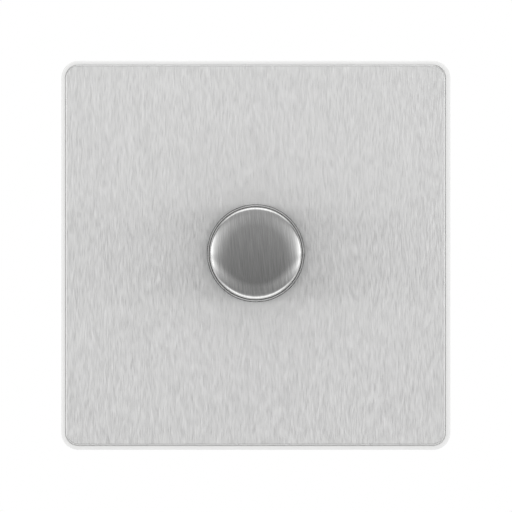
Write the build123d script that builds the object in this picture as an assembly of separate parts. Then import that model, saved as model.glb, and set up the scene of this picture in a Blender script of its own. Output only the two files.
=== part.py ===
from build123d import *
from math import cos, radians, sin
import os

# One-gang rotary dimmer with a push switch, in millimetres.
# The origin is on the knob's axis in the wall plane. X points right, Z points up, and Y points
# into the wall, so the front of the dimmer has negative Y.

# Clearances
fit = 0.05
screw_clearance = 0.2
cut_margin = 1.0

# Face plate
plate_size = 95.0
plate_depth = 7.0
plate_corner = 4.2
plate_edge_round = 0.6
plate_drop = 0.5
sheet_inset = 1.0
sheet_thickness = 0.9
sheet_proud = 0.5
sheet_edge_round = 0.25
sheet_gap = 0.1
sheet_hole_radius = 6.5
web_thickness = 1.7
web_window_radius = 10.0
skirt_wall = 1.6
stiffener_offset = 20.0
stiffener_inset = 10.5
stiffener_height = 1.6
stiffener_width = 1.2
pry_notch_width = 8.0
pry_notch_depth = 1.0

# Snap arms between the plate and its support frame
clip_play = 0.6
clip_offset = 22.0
clip_width = 8.0
clip_thickness = 1.2
clip_depth = 3.3
barb_reach = 1.5
barb_length = 1.8
barb_nose_length = 0.5
barb_nose_reach = 0.2
catch_margin = 0.2

# Support frame, folded from sheet steel
frame_inset = 4.5
frame_sheet = 1.2
frame_corner = 2.0
flange_inset = 9.0
flange_height = 4.6
side_flange_inset = 13.0
side_flange_height = 2.5
bend_radius = 1.4
fold_relief = 0.4

# Fixing screws for the wall box
box_screw_spacing = 60.3
box_screw_radius = 1.75
box_screw_neck_radius = 1.5
box_screw_length = 25.0
box_screw_tip_chamfer = 0.6
box_screw_head_radius = 3.4
box_screw_head_height = 2.2
box_screw_head_chamfer = 0.8
box_slot_width = 4.2
box_slot_length = 7.0
slot_width = 0.8
slot_depth = 1.0
small_slot_depth = 0.6

# Knob
knob_radius = 11.8
knob_draft = 0.7
knob_height = 15.4
knob_edge_round = 2.2
knob_crown = 0.3
knob_gap = 1.65
knob_back_chamfer = 0.3
knob_bore_radius = 9.6
knob_bore_depth = 11.5
insert_wall = 1.4
insert_setback = 0.3
insert_front = 1.2
hub_radius = 5.0
insert_rib_width = 1.2
insert_rib_setback = 1.0
insert_rib_count = 6
clip_leaf = 0.4
clip_leaf_width = 4.0
clip_leaf_length = 8.0
clip_leaf_inset = 1.0

# Shaft and bush
shaft_radius = 3.0
shaft_flat = 1.5
shaft_flat_setback = 0.9
shaft_seat = 10.8
shaft_chamfer = 0.4
shaft_end_gap = 0.2
bush_radius = 5.0
bush_front = 6.0
bush_chamfer = 0.5
bush_flange_radius = 6.0
bush_flange_thickness = 0.8
nut_across_flats = 14.0
nut_height = 2.4
nut_chamfer = 0.7
washer_radius = 8.0
washer_thickness = 0.8
washer_tooth_count = 16
washer_notch_depth = 1.1
washer_notch_width = 1.2
circlip_radius = 4.2
circlip_thickness = 0.6
circlip_groove_radius = 2.4
circlip_mouth = 3.0
push_travel = 1.3

# Potentiometer
can_radius = 8.5
can_wall = 0.5
can_lug_width = 3.0
can_lug_reach = 1.1
can_lug_angles = (60, 120, 195, 345)
pip_width = 2.0
pip_offset = 7.0
rotor_radius = 6.9
rotor_hub_radius = 4.5
rotor_hub_height = 1.0
rotor_thickness = 1.8
rotor_gap = 0.35
rotor_lug_reach = 0.6
stop_angle = 150.0
stop_play_angle = 2.0
stop_tab_angle = 28.0
stop_tab_reach = 0.85
stop_tab_margin = 0.2
wiper_sheet = 0.25
wiper_lift = 0.9
wiper_arc = 200.0
wiper_finger_arc = 150.0
wiper_finger_width = 0.7
track_plate_thickness = 1.0
track_film = 0.05
track_radius = 5.8
track_width = 1.4
track_hole_clearance = 0.3
collector_radius = 4.25
collector_width = 0.6
track_tongue_width = 13.0
track_tongue_reach = 2.8
pin_pitch = 5.0
pin_inset = 1.0
pin_sheet = 0.4
pin_width = 0.8
pin_tail = 1.0
pin_pad_width = 1.6
pin_pad_length = 2.4

# Push switch behind the potentiometer
switch_width = 12.0
switch_height = 10.0
switch_wall = 0.9
switch_depth = 6.5
switch_flange = 1.0
slider_radius = 4.0
slider_head = 1.7
slider_gap = 0.1
slider_stem_radius = 2.0
slider_stem_length = 2.2
contact_sheet = 0.3
contact_gap = 0.1
contact_strip_width = 1.6
contact_strip_setback = 1.6
contact_leg_offset = 2.0
contact_leg_sheet = 0.4
contact_leg_width = 0.8
contact_leg_tail = 0.6
bridge_width = 2.4
bridge_clearance = 0.2
bridge_ring_width = 1.1
spring_wire_radius = 0.2
spring_radius = 2.5
spring_turns = 5

# Module housing behind the frame
module_width = 50.0
module_height = 46.0
module_depth = 22.8
module_corner = 3.0
module_wall = 1.6
cover_thickness = 1.8
cover_edge_round = 0.5
cover_lip = 1.0
cover_lip_wall = 1.2
cover_lip_gap = 0.2
cover_boss_inset = 2.8
cover_boss_radius = 2.2
cover_screw_radius = 1.1
cover_screw_length = 7.0
cover_screw_point = 1.0
cover_screw_point_radius = 0.3
cover_screw_head_radius = 1.8
cover_screw_head_height = 1.0
cover_screw_head_chamfer = 0.3
frame_screw_inset_x = 8.0
frame_screw_inset_z = 6.0
frame_boss_radius = 2.75
frame_boss_relief = 0.5
frame_screw_radius = 1.4
frame_screw_length = 8.0
frame_screw_point = 1.0
frame_screw_point_radius = 0.4
frame_screw_head_radius = 2.5
board_rest_width = 1.4
board_rest_length = 4.2
board_rest_pitch = 10.0
vent_inset = 13.0
vent_level = 6.0
vent_width = 1.2
vent_length = 9.0
vent_pitch = 2.6
vent_count = 5

# Circuit board, and the leads of the parts on it
board_thickness = 1.6
board_gap = 0.4
board_front = 11.8
lead_radius = 0.35
lead_clearance = 0.1
pin_clearance = 0.3
lead_tail = 0.5
lead_bend = 0.8
lead_run = 1.0
part_standoff = 0.2
part_edge_round = 0.5

# Choke, wound on a ring
choke_inset = 10.6
choke_outer = 6.5
choke_inner = 3.5
choke_height = 4.6
choke_wire = 1.0
choke_turns = 18

# Capacitors and fuse
film_inset = 13.2
film_width = 12.6
film_length = 6.0
film_height = 6.6
film_lead_pitch = 10.0
electrolytic_inset = 10.6
electrolytic_radius = 3.15
electrolytic_length = 11.0
electrolytic_lead_pitch = 2.5
fuse_inset = 10.2
fuse_radius = 4.0
fuse_height = 6.8
fuse_lead_pitch = 5.0

# Controller chip
chip_inset = 9.4
chip_width = 9.6
chip_length = 6.4
chip_height = 3.3
chip_lead_pitch = 2.3
chip_lead_count = 4
chip_lead_reach = 0.6
chip_lead_width = 0.5
chip_lead_sheet = 0.3
chip_shoulder_width = 1.2
chip_shoulder_level = 1.5

# Resistors
resistor_inset = 10.4
resistor_offset = 3.4
resistor_radius = 1.1
resistor_length = 6.4
resistor_reach = 4.4
resistor_round = 0.4

# Cable terminals
terminal_pitch = 10.0
terminal_width = 7.6
terminal_length = 8.0
terminal_height = 7.2
terminal_chamfer = 0.4
terminal_setback = 0.3
terminal_bore_radius = 2.0
terminal_bore_floor = 0.9
terminal_screw_radius = 1.5
terminal_screw_length = 4.2
terminal_screw_gap = 0.1
driver_clearance = 0.8
wire_entry_radius = 2.3

# Earth terminal on the frame
earth_x = -15.0
earth_margin = 6.0
earth_width = 8.0
earth_height = 7.2
earth_depth = 8.0
earth_chamfer = 0.5
earth_bore_radius = 1.7
earth_bore_floor = 1.4
earth_rivet_radius = 1.6
earth_rivet_head_radius = 2.4
earth_rivet_head_height = 0.4
earth_screw_lift = 1.6
earth_screw_head_radius = 2.8
earth_screw_head_height = 1.6
earth_screw_head_chamfer = 0.5

# Power transistors on their heat sink
heat_sink_thickness = 1.5
heat_sink_corner = 1.0
heat_sink_side_gap = 2.3
heat_sink_top_gap = 2.0
heat_sink_can_gap = 0.5
pad_thickness = 0.2
transistor_can_gap = 0.4
transistor_middle_gap = 2.4
transistor_length = 15.3
transistor_width = 10.0
transistor_body_length = 9.0
transistor_thickness = 4.5
transistor_tab = 1.3
transistor_hole_inset = 2.8
transistor_lead_pitch = 2.54
transistor_lead_run = 1.0
transistor_lead_sheet = 0.5
transistor_lead_width = 0.8
transistor_lead_tail = 1.0
transistor_screw_radius = 1.5
transistor_screw_head_radius = 2.75
transistor_screw_head_height = 1.8
transistor_screw_head_chamfer = 0.5

# Sizes worked out from the ones above
sheet_size = plate_size - 2 * sheet_inset
frame_size = plate_size - 2 * frame_inset
flange_length = frame_size - 2 * flange_inset
side_flange_length = frame_size - 2 * side_flange_inset
stiffener_length = plate_size - 2 * stiffener_inset
lead_hole_radius = lead_radius + lead_clearance
pin_hole_radius = lead_radius + pin_clearance

# Depths worked out from the sizes above, positive into the wall
rim_front = -plate_depth
sheet_front = rim_front - sheet_proud
sheet_back = sheet_front + sheet_thickness
web_back = sheet_back + web_thickness
frame_front = -frame_sheet
washer_front = frame_front - washer_thickness
nut_front = washer_front - nut_height
knob_back = sheet_front - knob_gap
knob_front = knob_back - knob_height
bore_end = knob_back - knob_bore_depth
shaft_front = knob_back - shaft_seat
can_inside = module_wall + can_wall
flange_back = can_inside + bush_flange_thickness
circlip_front = flange_back + fit
circlip_back = circlip_front + circlip_thickness
rotor_front = circlip_back + push_travel + rotor_gap
disc_front = rotor_front + rotor_hub_height
rotor_back = disc_front + rotor_thickness
track_front = rotor_back + wiper_lift + track_film + fit
track_back = track_front + track_plate_thickness
shaft_back = track_back + shaft_end_gap
flange_end = track_back + switch_flange
switch_back = flange_end + switch_depth
slider_front = shaft_back + slider_gap
slider_head_back = slider_front + slider_head
bridge_back = slider_head_back + contact_sheet
contact_front = bridge_back + push_travel + contact_gap
board_back = board_front + board_thickness
cover_front = module_depth - cover_thickness
bore_depth = board_back + terminal_bore_floor + terminal_bore_radius
earth_bore_depth = earth_bore_floor + earth_bore_radius
pad_front = module_wall + heat_sink_thickness
tab_front = pad_front + pad_thickness
tab_back = tab_front + transistor_tab
choke_front = board_back + choke_wire + part_standoff

# Places on the front view, worked out from the sizes above
terminal_low = -module_height / 2 + module_wall + terminal_setback
terminal_z = terminal_low + terminal_length / 2
terminal_x = (-terminal_pitch, 0.0, terminal_pitch)
earth_z = module_height / 2 + earth_margin
frame_screw_x = module_width / 2 - frame_screw_inset_x
frame_screw_z = frame_screw_inset_z - module_height / 2
cover_boss_x = module_width / 2 - cover_boss_inset
cover_boss_z = module_height / 2 - cover_boss_inset
transistor_z = can_radius + transistor_can_gap + transistor_width / 2
transistor_hole_x = transistor_middle_gap + transistor_length - transistor_hole_inset
transistor_lead_x = transistor_middle_gap - transistor_lead_run
contact_leg_x = switch_width / 2 + contact_leg_offset
pin_z = pin_inset - can_radius - track_tongue_reach


def slab(profile, front, back):
    """A profile drawn as seen from the front, made solid between two depths."""
    plane = Plane(origin=(0, back, 0), x_dir=(1, 0, 0), z_dir=(0, -1, 0))
    return extrude(plane * profile, amount=back - front)


def at(x, z, profile):
    """A profile moved to a place on the front view."""
    return Pos(x, z) * profile


def turned(*outline):
    """A solid turned about the knob's axis from points of radius and depth."""
    return revolve(make_face(Polyline(*outline, close=True)), Axis.Y)


def tube(outer, inner, front, back):
    """A plain ring on the knob's axis."""
    return slab(Circle(outer) - Circle(inner), front, back)


def d_shape(radius, flat):
    """A round section with one flat below the centre."""
    keep = at(0, (radius - flat) / 2, Rectangle(2 * radius, radius + flat))
    return Circle(radius) & keep


def sector(inner, outer, angle, width):
    """A piece of a ring, centred on a direction given in degrees from +X towards +Z."""
    steps = 1 + int(width // 45)
    reach = 2 * outer
    start = angle - width / 2
    turns = [radians(start + width * index / steps) for index in range(steps + 1)]
    rim = [(reach * cos(turn), reach * sin(turn)) for turn in turns]
    return (Circle(outer) - Circle(inner)) & make_face(Polyline((0, 0), *rim, close=True))


def both_sides(shape, plane=Plane.YZ):
    """A shape and its mirror image."""
    return shape + mirror(shape, about=plane)


def pair(x, z, shape):
    """A shape on the knob's axis, set at a place on the right and at its mirror image."""
    return [Pos(side * x, 0, z) * shape for side in (-1, 1)]


def driver_slot(radius, top, depth, facing):
    """The slot in a screw head of a radius whose top is at a depth and faces front or back."""
    slot = Rectangle(slot_width, 3 * radius)
    if facing == "front":
        return slab(slot, top - cut_margin, top + depth)
    return slab(slot, top - depth, top + cut_margin)


def front_plate():
    """The brushed sheet, glued into the carrier's pocket."""
    outline = RectangleRounded(sheet_size, sheet_size, plate_corner - sheet_inset)
    sheet = slab(at(0, -plate_drop, outline), sheet_front, sheet_back)
    sheet = fillet(sheet.faces().sort_by(Axis.Y)[0].edges(), sheet_edge_round)
    hole = Circle(sheet_hole_radius)
    return sheet - slab(hole, sheet_front - cut_margin, sheet_back + cut_margin)


def snap_arm():
    """One arm of the carrier at the top, drawn on its side and extruded across."""
    inner = frame_size / 2 + clip_play
    outer = inner + clip_thickness
    tip = web_back + clip_depth
    profile = Polyline(
        (web_back, outer),
        (web_back, inner),
        (tip - barb_length, inner),
        (tip - barb_length, inner - barb_reach),
        (tip - barb_nose_length, inner - barb_nose_reach),
        (tip, inner),
        (tip, outer),
        close=True,
    )
    arm = extrude(Plane.YZ * make_face(profile), amount=clip_width / 2, both=True)
    return Pos(clip_offset, 0, 0) * arm


def plate_carrier():
    """The moulded plate that clips to the frame and holds the sheet."""
    body = slab(RectangleRounded(plate_size, plate_size, plate_corner), rim_front, 0)
    body = fillet(body.faces().sort_by(Axis.Y)[0].edges(), plate_edge_round)
    width = sheet_size + 2 * sheet_gap
    pocket = RectangleRounded(width, width, plate_corner - sheet_inset + sheet_gap)
    body -= slab(pocket, rim_front - cut_margin, sheet_back)
    width = plate_size - 2 * skirt_wall
    inside = RectangleRounded(width, width, plate_corner - skirt_wall)
    body -= slab(inside, web_back, cut_margin)
    body += both_sides(both_sides(snap_arm()), Plane.XY)
    upright = at(stiffener_offset, 0, Rectangle(stiffener_width, stiffener_length))
    level = at(0, stiffener_offset, Rectangle(stiffener_length, stiffener_width))
    body += both_sides(slab(upright, web_back, web_back + stiffener_height))
    body += both_sides(slab(level, web_back, web_back + stiffener_height), Plane.XY)
    notch = at(0, -plate_size / 2, Rectangle(pry_notch_width, 4 * skirt_wall))
    body -= slab(notch, -pry_notch_depth, cut_margin)
    body = Pos(0, 0, -plate_drop) * body
    return body - slab(Circle(web_window_radius), sheet_back - cut_margin, web_back + cut_margin)


def support_frame():
    """The folded steel frame that the box screws hold and everything else hangs on."""
    half = frame_size / 2
    inner = frame_size - 2 * (frame_sheet + fold_relief)
    outline = RectangleRounded(inner, inner, frame_corner)
    outline += Rectangle(flange_length, frame_size)
    outline += Rectangle(frame_size, side_flange_length)
    frame = slab(outline, frame_front, 0)
    lip = at(0, half - frame_sheet / 2, Rectangle(flange_length, frame_sheet))
    frame += both_sides(slab(lip, -flange_height, frame_front), Plane.XY)
    side = at(half - frame_sheet / 2, 0, Rectangle(frame_sheet, side_flange_length))
    frame += both_sides(slab(side, -side_flange_height, frame_front))
    back_edges = frame.edges().filter_by_position(Axis.Y, -fit, fit)
    folds = []
    for axis in (Axis.X, Axis.Z):
        folds += back_edges.filter_by_position(axis, half - fit, half + fit)
        folds += back_edges.filter_by_position(axis, -half - fit, fit - half)
    frame = fillet(folds, bend_radius)
    catch = Box(clip_width + 2 * clip_play, barb_length + 2 * catch_margin, 4 * frame_sheet)
    catch_depth = web_back + clip_depth - barb_length / 2
    frame -= both_sides(both_sides(Pos(clip_offset, catch_depth, half) * catch), Plane.XY)
    box_slot = SlotOverall(box_slot_length, box_slot_width, rotation=90)
    box_slot = at(box_screw_spacing / 2, 0, box_slot)
    holes = box_slot + mirror(box_slot, about=Plane.YZ)
    holes += Circle(bush_radius + fit)
    holes += pip_hole()
    holes += at(earth_x, earth_z, Circle(earth_rivet_radius + fit))
    for side in (-1, 1):
        holes += at(side * transistor_hole_x, transistor_z, Circle(transistor_screw_radius + fit))
        holes += at(side * frame_screw_x, frame_screw_z, Circle(frame_screw_radius + fit))
    frame -= slab(holes, frame_front - cut_margin, cut_margin)
    for sink in pair(frame_screw_x, frame_screw_z, countersink(fit)):
        frame -= sink
    return frame


def pip_hole():
    """The hole for the pip that keeps the can from turning."""
    return at(0, pip_offset + can_wall / 2, Rectangle(pip_width + 4 * fit, can_wall + 4 * fit))


def countersink(gap):
    """The cone of a flush screw head in the front of the frame."""
    depth = frame_screw_head_radius - frame_screw_radius
    return turned(
        (0, frame_front),
        (frame_screw_head_radius + gap, frame_front),
        (frame_screw_radius + gap, frame_front + depth),
        (0, frame_front + depth),
    )


def fixing_screws():
    """Two box screws, waisted under the head so that the frame keeps them."""
    top = frame_front - box_screw_head_height
    tip = frame_front + box_screw_length
    screw = turned(
        (0, top),
        (box_screw_head_radius - box_screw_head_chamfer, top),
        (box_screw_head_radius, top + box_screw_head_chamfer),
        (box_screw_head_radius, frame_front),
        (box_screw_neck_radius, frame_front),
        (box_screw_neck_radius, fit),
        (box_screw_radius, box_screw_radius - box_screw_neck_radius + fit),
        (box_screw_radius, tip - box_screw_tip_chamfer),
        (box_screw_radius - box_screw_tip_chamfer, tip),
        (0, tip),
    )
    screw -= driver_slot(box_screw_head_radius, top, slot_depth, "front")
    return Compound(pair(box_screw_spacing / 2, 0, screw))


def frame_screws():
    """Two flush screws that hold the module to the frame."""
    tip = frame_front + frame_screw_length
    shank = turned(
        (0, frame_front),
        (frame_screw_radius, frame_front),
        (frame_screw_radius, tip - frame_screw_point),
        (frame_screw_point_radius, tip),
        (0, tip),
    )
    screw = shank + countersink(0)
    screw -= driver_slot(frame_screw_head_radius, frame_front, small_slot_depth, "front")
    return Compound(pair(frame_screw_x, frame_screw_z, screw))


def knob_cap():
    """The turned metal cap: a drafted wall, a rounded front edge and a slight crown."""
    top = knob_radius - knob_draft
    edge = knob_front + knob_crown
    crown = ThreePointArc((-top, edge), (0, knob_front), (top, edge))
    outline = Polyline(
        (top, edge),
        (knob_radius, knob_back - knob_back_chamfer),
        (knob_radius - knob_back_chamfer, knob_back),
        (-top, knob_back),
        (-top, edge),
    )
    profile = split(make_face(crown + outline), bisect_by=Plane.YZ, keep=Keep.TOP)
    cap = revolve(profile, Axis.Y)
    rim = cap.edges().filter_by_position(Axis.Y, edge - fit, edge + fit)
    cap = fillet(rim, knob_edge_round)
    return cap - slab(Circle(knob_bore_radius), bore_end, knob_back + cut_margin)


def leaf_slot(gap):
    """The space of the spring leaf under the flat of the shaft."""
    width = clip_leaf_width + 2 * gap
    middle = -shaft_flat - fit - clip_leaf / 2
    front = shaft_front + clip_leaf_inset - gap
    back = front + clip_leaf_length + 2 * gap
    return slab(at(0, middle, Rectangle(width, clip_leaf + 2 * gap)), front, back)


def knob_insert():
    """The moulded insert that joins the cap to the flat of the shaft."""
    front = bore_end + fit
    back = knob_back - insert_setback
    outer = knob_bore_radius - fit
    inner = outer - insert_wall
    insert = tube(outer, inner, front, back)
    insert += slab(Circle(outer), front, front + insert_front)
    insert += slab(Circle(hub_radius), front, back)
    rib = at((hub_radius + inner) / 2, 0, Rectangle(outer - hub_radius, insert_rib_width))
    for index in range(insert_rib_count):
        turn = 360 / insert_rib_count * (index + 0.5)
        insert += slab(Rot(0, 0, turn) * rib, front, back - insert_rib_setback)
    bore = d_shape(shaft_radius + fit, shaft_flat + fit)
    insert -= slab(bore, shaft_front - shaft_end_gap, knob_back)
    return insert - leaf_slot(fit)


def knob_clip():
    """The spring leaf that grips the flat of the shaft."""
    return leaf_slot(0)


def pot_shaft():
    """The steel shaft, flatted for the knob and for the wiper, with a circlip groove."""
    shaft = turned(
        (0, shaft_front),
        (shaft_radius - shaft_chamfer, shaft_front),
        (shaft_radius, shaft_front + shaft_chamfer),
        (shaft_radius, circlip_front - fit / 2),
        (circlip_groove_radius, circlip_front - fit / 2),
        (circlip_groove_radius, circlip_back + fit / 2),
        (shaft_radius, circlip_back + fit / 2),
        (shaft_radius, shaft_back - shaft_chamfer),
        (shaft_radius - shaft_chamfer, shaft_back),
        (0, shaft_back),
    )
    below = at(0, -shaft_flat - shaft_radius / 2, Rectangle(3 * shaft_radius, shaft_radius))
    front_end = -bush_front - push_travel - shaft_flat_setback
    shaft -= slab(below, shaft_front - cut_margin, front_end)
    rear_end = rotor_front - push_travel - shaft_end_gap
    return shaft - slab(below, rear_end, shaft_back + cut_margin)


def shaft_circlip():
    """The open ring that keeps the shaft behind the bush."""
    ring = tube(circlip_radius, circlip_groove_radius + fit, circlip_front, circlip_back)
    mouth = at(0, -circlip_radius, Rectangle(circlip_mouth, 2 * circlip_radius))
    return ring - slab(mouth, circlip_front - cut_margin, circlip_back + cut_margin)


def threaded_bush():
    """The bush that the nut clamps, with a flange inside the can."""
    return turned(
        (shaft_radius + fit, -bush_front),
        (bush_radius - bush_chamfer, -bush_front),
        (bush_radius, bush_chamfer - bush_front),
        (bush_radius, can_inside),
        (bush_flange_radius, can_inside),
        (bush_flange_radius, flange_back),
        (shaft_radius + fit, flange_back),
    )


def pot_nut():
    """The hexagonal nut on the bush, chamfered at its front."""
    corner = nut_across_flats / 2 / cos(radians(30))
    nut = slab(RegularPolygon(corner, 6), nut_front, washer_front)
    cone = turned(
        (0, nut_front),
        (nut_across_flats / 2, nut_front),
        (corner + fit, nut_front + nut_chamfer),
        (corner + fit, washer_front),
        (0, washer_front),
    )
    bore = slab(Circle(bush_radius + fit), nut_front - cut_margin, washer_front + cut_margin)
    return (nut & cone) - bore


def lock_washer():
    """The toothed washer between the nut and the frame."""
    ring = Circle(washer_radius) - Circle(bush_radius + fit)
    notch = at(washer_radius, 0, Rectangle(2 * washer_notch_depth, washer_notch_width))
    for index in range(washer_tooth_count):
        ring -= Rot(0, 0, 360 / washer_tooth_count * index) * notch
    return slab(ring, washer_front, frame_front)


def pot_case():
    """The drawn can with a stop tab, a locating pip, folded lugs and a slot for the tongue."""
    inner = can_radius - can_wall
    can = tube(can_radius, inner, module_wall, flange_end)
    can += tube(can_radius, bush_radius + fit, module_wall, can_inside)
    tongue = at(0, -can_radius, Rectangle(track_tongue_width + 4 * fit, can_radius))
    can -= slab(tongue, track_front - 2 * fit, flange_end + cut_margin)
    tab = sector(inner - stop_tab_reach, inner + can_wall / 2, 90, stop_tab_angle)
    can += slab(tab, disc_front - stop_tab_margin, rotor_back + stop_tab_margin)
    lug = at(can_radius, 0, Rectangle(2 * (can_wall + can_lug_reach), can_lug_width))
    for turn in can_lug_angles:
        can += slab((Rot(0, 0, turn) * lug) & Circle(can_radius), flange_end, flange_end + can_wall)
    pip = at(0, pip_offset + can_wall / 2, Rectangle(pip_width, can_wall))
    return can + slab(pip, frame_front, can_inside)


def wiper_rotor():
    """The moulded rotor, keyed to the shaft, with the lug that meets the stop tab."""
    rotor = slab(Circle(rotor_hub_radius), rotor_front, disc_front)
    rotor += slab(Circle(rotor_radius), disc_front, rotor_back)
    lug_angle = 2 * (180 - stop_angle - stop_play_angle) - stop_tab_angle
    lug = sector(rotor_radius - rotor_lug_reach, rotor_radius + rotor_lug_reach, -90, lug_angle)
    rotor += slab(lug, disc_front, rotor_back)
    bore = d_shape(shaft_radius + fit, shaft_flat + fit)
    return rotor - slab(bore, rotor_front - cut_margin, rotor_back + cut_margin)


def wiper_contact():
    """The bronze wiper: a base ring and two fingers that rise to the track and the collector."""
    inner = collector_radius - collector_width
    outer = track_radius + collector_width
    back = rotor_back + wiper_sheet
    tip = rotor_back + wiper_lift
    wiper = slab(sector(inner, outer, -90, wiper_arc), rotor_back, back)
    slope = Polyline(
        (outer, rotor_back),
        (0, tip - wiper_sheet),
        (-outer, rotor_back),
        (-outer, back),
        (0, tip),
        (outer, back),
        close=True,
    )
    raised = extrude(Plane.XY * make_face(slope), amount=outer, both=True)
    for radius in (track_radius, collector_radius):
        half = wiper_finger_width / 2
        arm = sector(radius - half, radius + half, wiper_finger_arc / 2, wiper_finger_arc)
        wiper += slab(arm, rotor_back, tip) & raised
    return wiper


def track_plate():
    """The phenolic plate that closes the can and carries the tracks and the pins."""
    tongue_end = can_radius + track_tongue_reach
    plate = Circle(can_radius - can_wall - fit)
    plate += at(0, -tongue_end / 2, Rectangle(track_tongue_width, tongue_end))
    plate -= Circle(shaft_radius + track_hole_clearance)
    return slab(plate, track_front, track_back)


def resistive_track():
    """The carbon horseshoe, open at the bottom."""
    half = track_width / 2
    film = sector(track_radius - half, track_radius + half, 90, 2 * stop_angle)
    return slab(film, track_front - track_film, track_front)


def collector_ring():
    """The silvered ring inside the track."""
    half = collector_width / 2
    front = track_front - track_film
    return tube(collector_radius + half, collector_radius - half, front, track_front)


def pot_pin_places():
    """The three pins of the potentiometer."""
    return [(-pin_pitch, pin_z), (0, pin_z), (pin_pitch, pin_z)]


def transistor_lead_places(side):
    """The three leads of one power transistor."""
    rows = (-transistor_lead_pitch, 0, transistor_lead_pitch)
    return [(side * transistor_lead_x, transistor_z + row) for row in rows]


def pot_pins():
    """Three riveted pins, bent back from the tongue into the board."""
    pins = []
    for x, z in pot_pin_places():
        middle = z - pin_sheet / 2 + pin_pad_length / 2
        pad = at(x, middle, Rectangle(pin_pad_width, pin_pad_length))
        leg = at(x, z, Rectangle(pin_width, pin_sheet))
        pin = slab(pad, track_back, track_back + pin_sheet)
        pins.append(pin + slab(leg, track_back, board_back + pin_tail))
    return Compound(pins)


def switch_base():
    """The moulded case of the push switch, open to the front."""
    base = slab(Circle(can_radius - can_wall - fit), track_back, flange_end)
    base += slab(Rectangle(switch_width, switch_height), flange_end, switch_back)
    hollow = Rectangle(switch_width - 2 * switch_wall, switch_height - 2 * switch_wall)
    base -= slab(hollow, track_back - cut_margin, switch_back - switch_wall)
    passage = Rectangle(2 * switch_width, contact_strip_width + 2 * fit)
    return base - slab(passage, contact_front - fit, contact_front + contact_sheet + fit)


def fixed_contact(side):
    """One fixed contact, led out through the case and down into the board."""
    start = slider_stem_radius + contact_strip_setback
    end = contact_leg_x + contact_leg_sheet / 2
    strip = at((start + end) / 2, 0, Rectangle(end - start, contact_strip_width))
    leg = at(contact_leg_x, 0, Rectangle(contact_leg_sheet, contact_leg_width))
    contact = slab(strip, contact_front, contact_front + contact_sheet)
    contact += slab(leg, board_front - contact_leg_tail, contact_front)
    return contact if side > 0 else mirror(contact, about=Plane.YZ)


def switch_slider():
    """The plunger that the end of the shaft pushes."""
    slider = slab(Circle(slider_radius), slider_front, slider_head_back)
    stem_back = slider_head_back + slider_stem_length
    return slider + slab(Circle(slider_stem_radius), slider_head_back, stem_back)


def moving_contact():
    """The bridge that rides on the plunger's stem."""
    length = switch_width - 2 * switch_wall - 2 * bridge_clearance
    bridge = Rectangle(length, bridge_width) + Circle(slider_stem_radius + bridge_ring_width)
    return slab(bridge - Circle(slider_stem_radius + fit), slider_head_back, bridge_back)


def switch_spring():
    """The return spring between the bridge and the back of the case."""
    front = bridge_back + spring_wire_radius
    height = switch_back - switch_wall - spring_wire_radius - front
    coil = Helix(pitch=height / spring_turns, height=height, radius=spring_radius)
    wire = Plane(coil @ 0, z_dir=coil % 0) * Circle(spring_wire_radius)
    spring = sweep(wire, path=coil)
    return Pos(0, front, 0) * (Rot(-90, 0, 0) * spring)


def cover_points():
    """The corners at which the cover is screwed down."""
    return [(x * cover_boss_x, z * cover_boss_z) for x in (-1, 1) for z in (-1, 1)]


def module_housing():
    """The moulded case, open at the back, with bosses, board rests and cable entries."""
    inside_width = module_width - 2 * module_wall
    inside_height = module_height - 2 * module_wall
    outline = RectangleRounded(module_width, module_height, module_corner)
    hollow = RectangleRounded(inside_width, inside_height, module_corner - module_wall)
    case = slab(outline, 0, cover_front) - slab(hollow, module_wall, cover_front + cut_margin)
    post = slab(Circle(cover_boss_radius), module_wall, cover_front)
    tip = cover_front - cover_screw_length - cover_screw_point
    bore = slab(Circle(cover_screw_radius + fit), tip, cover_front + cut_margin)
    for x, z in cover_points():
        case += Pos(x, 0, z) * post
        case -= Pos(x, 0, z) * bore
    post = slab(Circle(frame_boss_radius), module_wall, board_front)
    tip = frame_front + frame_screw_length + frame_boss_relief
    bore = slab(Circle(frame_screw_radius + fit), -cut_margin, tip)
    for boss in pair(frame_screw_x, frame_screw_z, post):
        case += boss
    for hole in pair(frame_screw_x, frame_screw_z, bore):
        case -= hole
    rest = slab(Rectangle(board_rest_width, board_rest_length), module_wall, board_front)
    for level in (0, board_rest_pitch):
        for support in pair((inside_width - board_rest_width) / 2, level, rest):
            case += support
    holes = Circle(bush_radius + fit) + pip_hole()
    for side in (-1, 1):
        screw = Circle(transistor_screw_radius + screw_clearance)
        holes += at(side * transistor_hole_x, transistor_z, screw)
    case -= slab(holes, -cut_margin, module_wall + cut_margin)
    for x in terminal_x:
        entry = Cylinder(wire_entry_radius, 4 * module_wall)
        case -= Pos(x, bore_depth, -module_height / 2) * entry
    return case


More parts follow.
